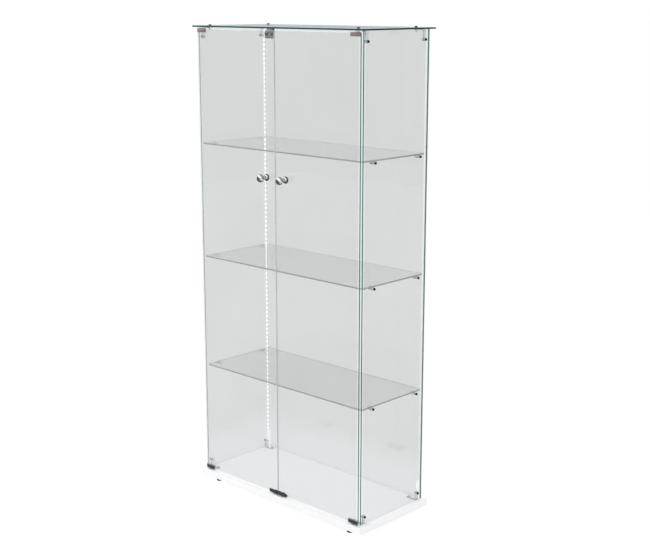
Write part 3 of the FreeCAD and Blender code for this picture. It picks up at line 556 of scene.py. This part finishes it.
def breakEdges(shape, faces, width, sharp=40):      # a small round along the hard edges
    bmesh.ops.recalc_face_normals(shape, faces=faces)
    limit = math.radians(sharp)
    hard = {edge for face in faces for edge in face.edges if edge.calc_face_angle(0) > limit}
    bmesh.ops.bevel(shape, geom=list(hard), offset=width, offset_type="OFFSET", segments=2, profile=0.5,
                    affect="EDGES", clamp_overlap=True)


def addBlock(shape, centre, size, edge):      # a block with broken edges
    low, high = Vector(centre) - Vector(size) / 2, Vector(centre) + Vector(size) / 2
    matrix = Matrix.Translation((0, 0, low.z))
    breakEdges(shape, extrudeOutline(shape, rectangle(low, high), matrix, size[2]), edge)


def keepPiece(name, shape, material, body, replaced=(), sharp=35):
    bmesh.ops.recalc_face_normals(shape, faces=shape.faces)
    shape.transform(Matrix.Scale(mm, 4))
    mesh = bpy.data.meshes.new(name)
    shape.to_mesh(mesh)
    shape.free()
    mesh.shade_smooth()
    mesh.set_sharp_from_angle(angle=math.radians(sharp))
    mesh.materials.append(material)
    piece = bpy.data.objects.new(name, mesh)
    bpy.context.scene.collection.objects.link(piece)
    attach(piece, body)
    if replaced:
        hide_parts(*replaced)


# screws: head and shank are radii, and the length is counted from under the head
screwSettings = {
    "top": {"head": 4.75, "height": 3, "length": 14},
    "side": {"head": 4, "height": 4.5, "length": 14, "form": knurlForm, "steps": 48},
    "support": {"head": 4.4, "height": 4.4, "length": 17},
    "wood": {"head": 3.75, "height": 2.4, "length": 12, "recess": crossForm},
    "lowCatch": {"head": 3.75, "height": 2.4, "length": 2, "recess": crossForm},
    "plate": {"head": 2, "height": 1, "length": 6, "shank": 1.25, "recess": crossForm},
    "clamp": {"head": 3, "height": 1.4, "length": 1.4, "shank": 1.7, "recess": crossForm},
    "knob": {"head": 4, "height": 2.5, "length": 14, "form": knurlForm, "steps": 48},
    "topCatch": {"head": 2.6, "height": 0.5, "length": 2, "shank": 1.5, "recess": crossForm},
}
commonScrew = {      # where a screw says nothing else; shares are of the head's radius and height
    "form": roundForm,
    "steps": 24,
    "recess": hexagonForm,
    "shank": 2,
    "sideHeight": 0.55,
    "shoulder": (0.94, 0.78),
    "crown": 0.78,
    "recessTop": 0.42,
    "recessFoot": 0.34,
    "recessDepth": 0.6,
    "deepestRecess": 1.4,      # in millimetres
    "recessTip": 1.1,      # the middle's depth, as a share of the recess's
}


def addScrew(shape, spot, direction, kind):      # from under the head, which faces the direction
    s = {**commonScrew, **screwSettings[kind]}
    head, height, length, form = s["head"], s["height"], s["length"], s["form"]
    deep = min(s["deepestRecess"], height * s["recessDepth"])
    outline = [
        (0, -length), (s["shank"], -length), (s["shank"], 0), (head, 0, form),
        (head, height * s["sideHeight"], form), (head * s["shoulder"][0], height * s["shoulder"][1]),
        (head * s["crown"], height), (head * s["recessTop"], height, s["recess"]),
        (head * s["recessFoot"], height - deep, s["recess"]), (0, height - deep * s["recessTip"]),
    ]
    turnOutline(shape, outline, place(spot, direction), s["steps"])


washerSettings = {
    "thickness": 1,
    "outline": [(2.1, 0), (4.3, 0), (4.5, 0.25), (4.5, 0.75), (4.3, 0.97), (2.1, 0.97), (2.1, 0)],
}


def addScrewedWasher(washers, screws, spot, direction, kind):      # on a pane, with the screw through it
    turnOutline(washers, offGlass(washerSettings["outline"]), place(spot, direction))
    addScrew(screws, Vector(spot) + Vector(direction) * washerSettings["thickness"], direction, kind)


# corner brackets: bent strip, threaded bosses and the screws into them
bracketSettings = {
    "thickness": 3.5,
    "bend": 4.2,
    "margin": 6,      # from the ends of the strip to its screws
    "edge": 0.45,
    "boss": [(0, -0.5), (4, -0.5), (4, 5.5), (3.5, 6), (2.3, 6), (2.1, 4.6), (0, 4.6)],
}


def makeBracket(node, sign, upper, s):
    low, high = boxOf(node)
    thick, margin, edge = s["thickness"], s["margin"], s["edge"]
    outer, inner = outerX(low, high, sign) - sign * glassGap, outerX(low, high, -sign)
    lift = -1 if upper else 1      # from the plate or board towards the free end
    plate, end = (high.z - glassGap, low.z) if upper else (low.z, high.z)
    points = [(inner, plate), (outer, plate), (outer, end), (outer - sign * thick, end),
              (outer - sign * thick, plate + lift * thick), (inner, plate + lift * thick)]
    outline = roundCorners(points, (edge, s["bend"], edge, edge, s["bend"] - thick, edge))
    shape = bmesh.new()
    breakEdges(shape, extrudeOutline(shape, outline, facingFront(high.y), high.y - low.y), edge)
    row = (low.y + high.y) / 2
    plateX, sideZ = inner + sign * margin, end - lift * margin
    turnOutline(shape, s["boss"], place((outer - sign * thick, row, sideZ), (-sign, 0, 0)))
    if upper:
        turnOutline(shape, s["boss"], place((plateX, row, plate - thick), (0, 0, -1)))
    keepPiece(node + "_shape", shape, finish["softChrome"], "cabinet", [node])
    return plateX, row, sideZ


def makeBrackets(s):
    topScrews, sideScrews, woodScrews, washers = (bmesh.new() for _ in range(4))
    plateTop, boardTop = boxOf("top_panel")[1].z, boxOf("base_board")[1].z
    for side, sign in sideSigns:
        outerFace = outerX(*boxOf(f"{side}_side_panel"), sign)
        for row in ("front", "rear"):
            for level in ("top", "base"):
                node = f"{level}_{side}_{row}_bracket"
                plateX, y, sideZ = makeBracket(node, sign, level == "top", s)
                addScrewedWasher(washers, sideScrews, (outerFace, y, sideZ), (sign, 0, 0), "side")
                if level == "top":
                    addScrewedWasher(washers, topScrews, (plateX, y, plateTop), (0, 0, 1), "top")
                else:
                    addScrew(woodScrews, (plateX, y, boardTop + s["thickness"]), (0, 0, 1), "wood")
    keepPiece("top_screw_heads", topScrews, finish["darkMetal"], "cabinet", ["top_bracket_screws"])
    keepPiece("side_screw_heads", sideScrews, finish["darkMetal"], "cabinet", ["bracket_side_screws"])
    keepPiece("washer_rings", washers, finish["washerPlastic"], "cabinet", ["glass_washers"])
    return woodScrews


woodScrews = makeBrackets(bracketSettings)
print("brackets and their screws")


# shelf studs: flat on top, with a fine groove, each screwed on through its side panel
studSettings = {
    "radius": 4.5,
    "flatShare": 3.5 / 4.5,      # height of the flat above the middle, as a share of the radius
    "steps": 32,
    "outline": [(0, 0), (4.5, 0), (4.5, 2.2), (4.15, 2.5), (4.15, 3.1), (4.5, 3.4), (4.5, 17),
                (4.2, 17.7), (3.5, 18), (0, 18)],
}


def makeStuds(s):
    screws = bmesh.new()
    radius = s["radius"]
    outline = [(reach, along, flatTopForm) for reach, along in offGlass(s["outline"])]
    for level in ("upper", "middle", "lower"):
        node = f"{level}_shelf_supports"
        low, high = boxOf(node)
        z = low.z + radius
        studs = bmesh.new()
        for side, sign in sideSigns:
            outerFace = outerX(*boxOf(f"{side}_side_panel"), sign) + sign * glassGap
            for y in (low.y + radius, high.y - radius):
                turn = place((outerX(low, high, sign), y, z), (-sign, 0, 0))
                turnOutline(studs, outline, turn, s["steps"])
                addScrew(screws, (outerFace, y, z), (sign, 0, 0), "support")
        keepPiece(node + "_shape", studs, finish["softChrome"], "cabinet", [node])
    keepPiece("shelf_screw_heads", screws, finish["darkMetal"], "cabinet", ["shelf_support_screws"])


makeStuds(studSettings)
print("shelf studs")


# light strips: tape, square lamps with a glowing middle, solder pads and small resistors
stripSettings = {
    "thickness": 0.6,
    "edge": 0.1,
    "pitch": 16.7,
    "case": [(0, -0.1), (2.5, -0.1, squareForm), (2.5, 1.2, squareForm), (2.3, 1.4, squareForm),
             (2, 1.4), (1.9, 1.15), (0, 1.15)],
    "lamp": [(0, 1.18), (1.87, 1.18), (1.6, 1.34), (0, 1.38)],
    "cut": 3,      # lamps from one set of pads to the next
    "pad": (0.24, 1.5, 1.1),      # out from the tape, across it and along it
    "padShift": (2.2, 1.3),
    "padEdge": 0.05,
    "resistor": (0.45, 1.2, 2),
    "resistorEdge": 0.08,
    "looks": {"tape": "lightTape", "lamp_cases": "lampCase", "lamps": "lampGlow",
              "solder_pads": "solder", "resistors": "resistor"},
}


def makeStrip(side, sign, s):
    node = f"{side}_light_strip"
    low, high = boxOf(node)
    thick, width, length = s["thickness"] - glassGap, high.y - low.y, high.z - low.z
    wall, y = outerX(low, high, sign) - sign * glassGap, (low.y + high.y) / 2
    face = wall - sign * thick
    shapes = {name: bmesh.new() for name in s["looks"]}
    middle = (wall - sign * thick / 2, y, low.z + length / 2)
    addBlock(shapes["tape"], middle, (thick, width, length), s["edge"])
    for index in range(int(length / s["pitch"])):
        z = low.z + (index + 0.5) * s["pitch"]
        between = z + s["pitch"] / 2
        turn = place((face, y, z), (-sign, 0, 0))
        turnOutline(shapes["lamp_cases"], s["case"], turn)
        turnOutline(shapes["lamps"], s["lamp"], turn)
        if index % s["cut"] == s["cut"] - 1:
            across, along = s["padShift"]
            for shift in (-across, across):
                for step in (-along, along):
                    spot = (face, y + shift, between + step)
                    addBlock(shapes["solder_pads"], spot, s["pad"], s["padEdge"])
        else:
            spot = (face - sign * s["resistor"][0] / 2, y, between)
            addBlock(shapes["resistors"], spot, s["resistor"], s["resistorEdge"])
    for name, look in s["looks"].items():
        replaced = [node] if name == "tape" else ()
        keepPiece(f"{side}_{name}", shapes[name], finish[look], "cabinet", replaced)


# connectors: a moulded case at the foot of each strip
connectorSettings = {
    "edge": 0.8,
    "steps": 32,
    "ribs": (5, 6, 2),      # grip ribs low down: how many, the first one's height, the next one's rise
    "ribGroove": (0.35, 0.35, 1.2),      # depth, slope and width
    "lidHeight": 44,
    "lidGroove": (0.3, 0.2, 0.9),
}


def groove(half, foot, depth, slope, width):
    return [(half, foot), (half - depth, foot + slope), (half - depth, foot + width - slope),
            (half, foot + width)]


def makeConnector(side, sign, s):
    node = f"{side}_strip_connector"
    low, high = boxOf(node)
    centre = ((low.x + high.x) / 2 - sign * glassGap, (low.y + high.y) / 2 - glassGap, low.z)
    half, length, edge = (high.x - low.x) / 2 - glassGap, high.z - low.z, s["edge"]
    outline = [(0, 0), (half - edge, 0), (half, edge)]
    count, first, rise = s["ribs"]
    for rib in range(count):
        outline += groove(half, first + rise * rib, *s["ribGroove"])
    outline += groove(half, s["lidHeight"], *s["lidGroove"])
    outline += [(half, length - edge), (half - edge, length), (0, length)]
    shape = bmesh.new()
    outline = [(reach, along, squareForm) for reach, along in outline]
    turnOutline(shape, outline, place(centre), s["steps"])
    keepPiece(node + "_shape", shape, finish["whitePlastic"], "cabinet", [node])


for side, sign in sideSigns:
    makeStrip(side, sign, stripSettings)
    makeConnector(side, sign, connectorSettings)
print("light strips")


# feet: a flared rubber ring under a round post
footSettings = {
    "outline": [(0, 0), (9.9, 0), (10.5, 0.5), (10.5, 4.6), (10.1, 5.2), (8.7, 6.4), (8.7, 7.1),
                (9, 7.5), (9, 16), (0, 16)],
    "steps": 48,
}


def makeFoot(node, s):
    low, high = boxOf(node)
    shape = bmesh.new()
    spot = ((low.x + high.x) / 2, (low.y + high.y) / 2, low.z)
    turnOutline(shape, s["outline"], place(spot), s["steps"])
    keepPiece(node + "_shape", shape, finish["blackRubber"], "cabinet", [node])


for side, _ in sideSigns:
    for row in ("front", "rear"):
        makeFoot(f"{side}_{row}_foot", footSettings)
print("feet")


# catches: the low block on the board, the case under the top plate, magnets in both
magnetOutline = [(0, 0), (4, 0), (4, 2.3), (3.7, 2.6), (2, 2.6), (1.8, 2.5), (0, 2.5)]
lowCatchSettings = {
    "sillHeight": 1.5,      # the block slopes in above this, at its ends and its back
    "endSlope": 9.4,
    "backSlope": 4.5,
    "round": (1.5, 1.5, 5.2, 5.2),
    "edge": 0.45,
    "boss": [(0, 1), (4.7, 1), (4.5, 8.6), (4.2, 8.9), (0, 8.9)],
    "bossSteps": 32,
    "screwShift": 12,
    "screwSink": 2.35,
    "magnetShift": 21,
    "magnetRise": 5.5,
    "magnetInset": 2.5,
}
topCatchSettings = {
    "round": 1.6,
    "edge": 0.5,
    "rearGap": 0.15,
    "neckHeight": 6,      # the case hangs by a narrower neck
    "neckMargins": (5, 0.55, 0.05),      # at its ends, in front and behind
    "neckGap": 0.13,
    "neckSink": 0.63,
    "neckEdge": 0.4,
    "magnetShift": 14,
    "magnetInset": 2.6,
    "screwInset": 0.5,
}
hingePlateSettings = {"pivot": 12, "screwShift": 8}      # in from the outer end, then to each screw


def addMagnet(shape, spot):
    turnOutline(shape, magnetOutline, place(spot, (0, -1, 0)))


def makeLowCatch(s, screws, magnets):
    low, high = boxOf("base_catch_case")
    y = (low.y + high.y) / 2
    crownLow = (low.x + s["endSlope"], low.y)
    crownHigh = (high.x - s["endSlope"], high.y - s["backSlope"])
    foot = roundCorners(rectangle(low, high), s["round"])
    crown = roundCorners(rectangle(crownLow, crownHigh), s["round"])
    rows = [(foot, low.z), (foot, low.z + s["sillHeight"]), (crown, high.z)]
    shape = bmesh.new()
    breakEdges(shape, loftOutlines(shape, rows, Matrix()), s["edge"], sharp=20)
    for _, sign in sideSigns:
        x = sign * s["screwShift"]
        addScrew(screws, (x, y, high.z - s["screwSink"]), (0, 0, 1), "lowCatch")
        turnOutline(shape, s["boss"], place((x, y, low.z)), s["bossSteps"])
        addMagnet(magnets, (sign * s["magnetShift"], low.y + s["magnetInset"], low.z + s["magnetRise"]))
    keepPiece("base_catch_block", shape, finish["blackRubber"], "cabinet", ["base_catch_case"])


def makeTopCatch(s, magnets):
    low, high = boxOf("top_catch_case")
    caseTop = high.z - s["neckHeight"]
    x, z = (low.x + high.x) / 2, (low.z + caseTop) / 2
    shape = bmesh.new()
    points = roundCorners(rectangle((low.x, low.z), (high.x, caseTop)), s["round"])
    depth = high.y - low.y - s["rearGap"]
    breakEdges(shape, extrudeOutline(shape, points, facingFront(high.y), depth), s["edge"])
    end, inFront, behind = s["neckMargins"]
    neckLow = Vector((low.x + end, low.y + inFront, caseTop - s["neckSink"]))
    neckHigh = Vector((high.x - end, high.y - behind, high.z - s["neckGap"]))
    addBlock(shape, (neckLow + neckHigh) / 2, neckHigh - neckLow, s["neckEdge"])
    for _, sign in sideSigns:
        addMagnet(magnets, (x + sign * s["magnetShift"], low.y + s["magnetInset"], z))
    keepPiece("top_catch_shape", shape, finish["catchChrome"], "cabinet", ["top_catch_case"])
    screw = bmesh.new()
    addScrew(screw, (x, low.y + s["screwInset"], z), (0, -1, 0), "topCatch")
    keepPiece("top_catch_screw", screw, finish["softChrome"], "cabinet")


def addPlateScrews(s, screws):      # through the lower hinge plates
    low, high = boxOf("lower_hinge_plates")
    for _, sign in sideSigns:
        pivot = outerX(low, high, sign) - sign * s["pivot"]
        for shift in (-s["screwShift"], s["screwShift"]):
            addScrew(screws, (pivot + shift, (low.y + high.y) / 2, high.z), (0, 0, 1), "plate")


magnets = bmesh.new()
makeLowCatch(lowCatchSettings, woodScrews, magnets)
makeTopCatch(topCatchSettings, magnets)
keepPiece("magnet_discs", magnets, finish["magnetNickel"], "cabinet", ["catch_magnets"])
addPlateScrews(hingePlateSettings, woodScrews)
keepPiece("wood_screw_heads", woodScrews, finish["steel"], "cabinet", ["wood_screws"])
print("catches")


# doors: channels over the glass, their screws, knobs in front and caps behind
channelSettings = {
    "clamp": {
        "wall": 1.5,
        "inner": 0,      # taken off the walls on the side of the glass
        "frontRound": 0.78,
        "rearRound": 1.3,
        "lip": 1.5,      # how far the front ends short of the solid
        "rearLip": 3.2,      # and the rear
        "cutBack": (5.2, 5.2),      # of the rear, at the cabinet's side and where the doors meet
        "endWall": 0,
        "screwRise": 7.5,
        "screwShift": 12,
    },
    "strike": {
        "wall": 2,
        "inner": glassGap,
        "frontRound": 0.96,
        "rearRound": 1.6,
        "lip": 0.6,
        "rearLip": 8,
        "cutBack": (12, 0),
        "endWall": 0.6,      # closes the channel over the glass where the doors meet
        "endSlope": 5,
    },
}
channelEdges = {"lip": 0.3, "joint": 0.1, "root": 0.2, "bevel": 0.24, "overlap": 0.3}


def makeChannel(node, body, upper, material, s):
    low, high = boxOf(node)
    wall, inner, endWall, edge = s["wall"], s["inner"], s["endWall"], channelEdges
    leftDoor = high.x < 0
    start, end = (low.x, high.x + endWall) if leftDoor else (low.x - endWall, high.x)
    cutLow, cutHigh = s["cutBack"] if leftDoor else s["cutBack"][::-1]
    lift = -1 if upper else 1      # from the shut side to the mouth
    shut, mouth = (high.z, low.z) if upper else (low.z, high.z)
    rearMouth = mouth - lift * s["rearLip"]
    mouth -= lift * s["lip"]
    near, far = low.y + wall - inner, high.y - wall + inner
    floor, behind = shut + lift * (wall - inner), near - edge["overlap"]
    lip, joint = edge["lip"], edge["joint"]
    flange = roundCorners([(low.y, mouth), (low.y, shut), (near, shut), (near, mouth)],
                          (lip, s["frontRound"], joint, lip))
    hook = roundCorners([(behind, shut), (high.y, shut), (high.y, rearMouth),
                         (far, rearMouth), (far, floor), (behind, floor)],
                        (joint, s["rearRound"], lip, lip, edge["root"], joint))
    parts = [(flange, start, end), (hook, start + cutLow, end - cutHigh)]
    if endWall:
        plate = roundCorners(rectangle((low.y, shut), (high.y, rearMouth)), lip)
        rise = [(low.y, shut), (far, shut), (far, mouth - lift * s["endSlope"]), (near, mouth),
                (low.y, mouth)]
        ends = (high.x + glassGap, end) if leftDoor else (start, low.x - glassGap)
        parts += [(plate, *ends), (rise, *ends)]
    shape = bmesh.new()
    for outline, first, last in parts:      # outlines in Y and Z, drawn out along X
        turn = Matrix(((0, 0, 1, first), (1, 0, 0, 0), (0, 1, 0, 0), (0, 0, 0, 1)))
        breakEdges(shape, extrudeOutline(shape, outline, turn, last - first), edge["bevel"])
    keepPiece(node + "_shape", shape, material, body, [node])
    return low, high


knobSettings = {
    "radius": 13.5,
    "headHalf": 11.5,
    "power": 2.15,      # the head is an ellipse, squared off a little
    "rows": 22,
    "start": -0.9,      # where the head leaves the neck: -1 would be its low end, 1 is its top
    "steps": 64,
    "capSteps": 48,
    "foot": [(0, 0), (9.6, 0), (10, 0.4), (10, 1.5), (9.4, 2), (7.2, 3.2), (6.3, 4.6), (6, 6.5), (6, 9),
             (6.5, 9.6), (6.5, 10.6), (6, 11.2), (5.9, 13.2)],
    "cap": [(0, 0), (12.3, 0), (12.5, 0.3), (12.5, 1.4), (12.2, 2.6), (11.4, 3.8), (10, 4.9), (8.2, 5.6),
            (6.3, 5.95), (5.2, 6), (4.5, 5.4), (4.4, 3.5), (0, 3.5)],
    "capFloor": 3.5,      # where the screw's head sits
    "sharp": 25,
}


def makeKnob(side, body, s):
    low, high = boxOf(f"{side}_knob")
    x, z, length = (low.x + high.x) / 2, (low.z + high.z) / 2, high.y - low.y
    outline = offGlass(s["foot"])
    for row in range(s["rows"] + 1):
        share = s["start"] + (1 - s["start"]) * math.sin(row / s["rows"] * math.pi / 2)
        radius = s["radius"] * max(0, 1 - abs(share) ** s["power"]) ** (1 / s["power"])
        outline.append((radius, length - s["headHalf"] * (1 - share)))
    shape = bmesh.new()
    turnOutline(shape, outline, place((x, high.y, z), (0, -1, 0)), s["steps"])
    keepPiece(f"{side}_turned_knob", shape, finish["chrome"], body, [f"{side}_knob"], sharp=s["sharp"])
    inside = boxOf(f"{side}_knob_back_cap")[0].y
    shape = bmesh.new()
    turnOutline(shape, offGlass(s["cap"]), place((x, inside, z), (0, 1, 0)), s["capSteps"])
    keepPiece(f"{side}_turned_cap", shape, finish["chrome"], body, [f"{side}_knob_back_cap"],
              sharp=s["sharp"])
    shape = bmesh.new()
    addScrew(shape, (x, inside + s["capFloor"], z), (0, 1, 0), "knob")
    keepPiece(f"{side}_cap_screw", shape, finish["steel"], body, [f"{side}_knob_screw"])


discSettings = {"edge": 0.4, "rim": (1.6, 1.9), "dish": 0.2, "steps": 40}      # rim: in from the outside


def makeStrikeDiscs(s):
    low, high = boxOf("left_upper_strike")
    radius, thick = (high.z - low.z) / 2, high.y - low.y
    (rimOuter, rimInner), floor = s["rim"], thick - s["dish"]
    outline = [(0, 0), (radius, 0), (radius, thick - s["edge"]), (radius - s["edge"], thick),
               (radius - rimOuter, thick), (radius - rimInner, floor), (0, floor)]
    shape = bmesh.new()
    for x in (low.x + radius, high.x - radius):
        turnOutline(shape, offGlass(outline), place((x, low.y, low.z + radius), (0, 1, 0)), s["steps"])
    keepPiece("left_strike_discs", shape, finish["magnetNickel"], "left_door", ["left_upper_strike"])


def makeDoorFittings(side):
    body, s = f"{side}_door", channelSettings["clamp"]
    screws = bmesh.new()
    for level, look in (("upper", "bronzeMetal"), ("lower", "charcoalMetal")):
        node = f"{side}_{level}_hinge_clamp"
        low, high = makeChannel(node, body, level == "upper", finish[look], s)
        z = high.z - s["screwRise"] if level == "upper" else low.z + s["screwRise"]
        for shift in (-s["screwShift"], s["screwShift"]):
            addScrew(screws, ((low.x + high.x) / 2 + shift, high.y, z), (0, 1, 0), "clamp")
    keepPiece(f"{side}_clamp_screw_heads", screws, finish["darkMetal"], body, [f"{side}_clamp_screws"])
    clip = f"{side}_lower_strike_clip"
    makeChannel(clip, body, False, finish["charcoalMetal"], channelSettings["strike"])
    makeKnob(side, body, knobSettings)


for side, _ in sideSigns:
    makeDoorFittings(side)
makeStrikeDiscs(discSettings)
print("door fittings")


# studio: pale floor, soft overhead light, white all round
studioSettings = {
    "floorSize": 12,
    "floorCells": 4,
    "floorRoughness": 0.9,
    "floorColour": (0.93, 0.93, 0.93),
    "floorWhite": 0.9,      # how much of the floor the camera sees as plain white
    "floorGlow": 1.04,
    "skyStrength": 0.92,
    "lampSize": 4,
    "lampPower": 45,
    "lampPlaces": ((1.5, -3.5, 3.8), (-3.0, -1.5, 3.2)),
    "lampAim": (0, 0, 0.8),
}


def seenDirectly(tree):      # 1 for what the camera sees, also through glass and in mirrors
    path = addNode(tree, "ShaderNodeLightPath")
    seen = path.outputs["Is Camera Ray"]
    for ray in ("Is Glossy Ray", "Is Transmission Ray"):
        larger = addNode(tree, "ShaderNodeMath", operation="MAXIMUM")
        tree.links.new(seen, larger.inputs[0])
        tree.links.new(path.outputs[ray], larger.inputs[1])
        seen = larger.outputs[0]
    return seen


def makeFloor(s):
    cells = s["floorCells"]
    bpy.ops.mesh.primitive_grid_add(size=s["floorSize"], x_subdivisions=cells, y_subdivisions=cells)
    floor = bpy.context.object
    floor.name = "studioFloor"
    material, tree, shader = newMaterial("studioFloor")
    shader.inputs["Roughness"].default_value = s["floorRoughness"]
    shader.inputs["Base Color"].default_value = (*s["floorColour"], 1)
    white = addNode(tree, "ShaderNodeEmission")
    white.inputs["Strength"].default_value = s["floorGlow"]
    share = spread(tree, seenDirectly(tree), 0, s["floorWhite"], 0, 1)
    mixed = mixShaders(tree, share, shader.outputs["BSDF"], white.outputs["Emission"])
    tree.links.new(mixed, tree.nodes["Material Output"].inputs["Surface"])
    floor.data.materials.append(material)


def makeLight(s):
    world = bpy.context.scene.world or bpy.data.worlds.new("studio")
    bpy.context.scene.world = world
    world.use_nodes = True
    tree = world.node_tree
    background = tree.nodes["Background"]
    background.inputs["Color"].default_value = (1, 1, 1, 1)
    strength = spread(tree, seenDirectly(tree), s["skyStrength"], 1, 0, 1)
    tree.links.new(strength, background.inputs["Strength"])
    for index, spot in enumerate(s["lampPlaces"]):
        name = f"softLamp{index}"
        lamp = bpy.data.objects.new(name, bpy.data.lights.new(name, "AREA"))
        bpy.context.scene.collection.objects.link(lamp)
        lamp.data.size = s["lampSize"]
        lamp.data.energy = s["lampPower"]
        lamp.visible_camera = lamp.visible_transmission = False      # not seen through the glass
        lamp.location = spot
        aim = Vector(s["lampAim"]) - Vector(spot)
        lamp.rotation_euler = aim.to_track_quat("-Z", "Y").to_euler()


makeFloor(studioSettings)
makeLight(studioSettings)
print("studio lit")
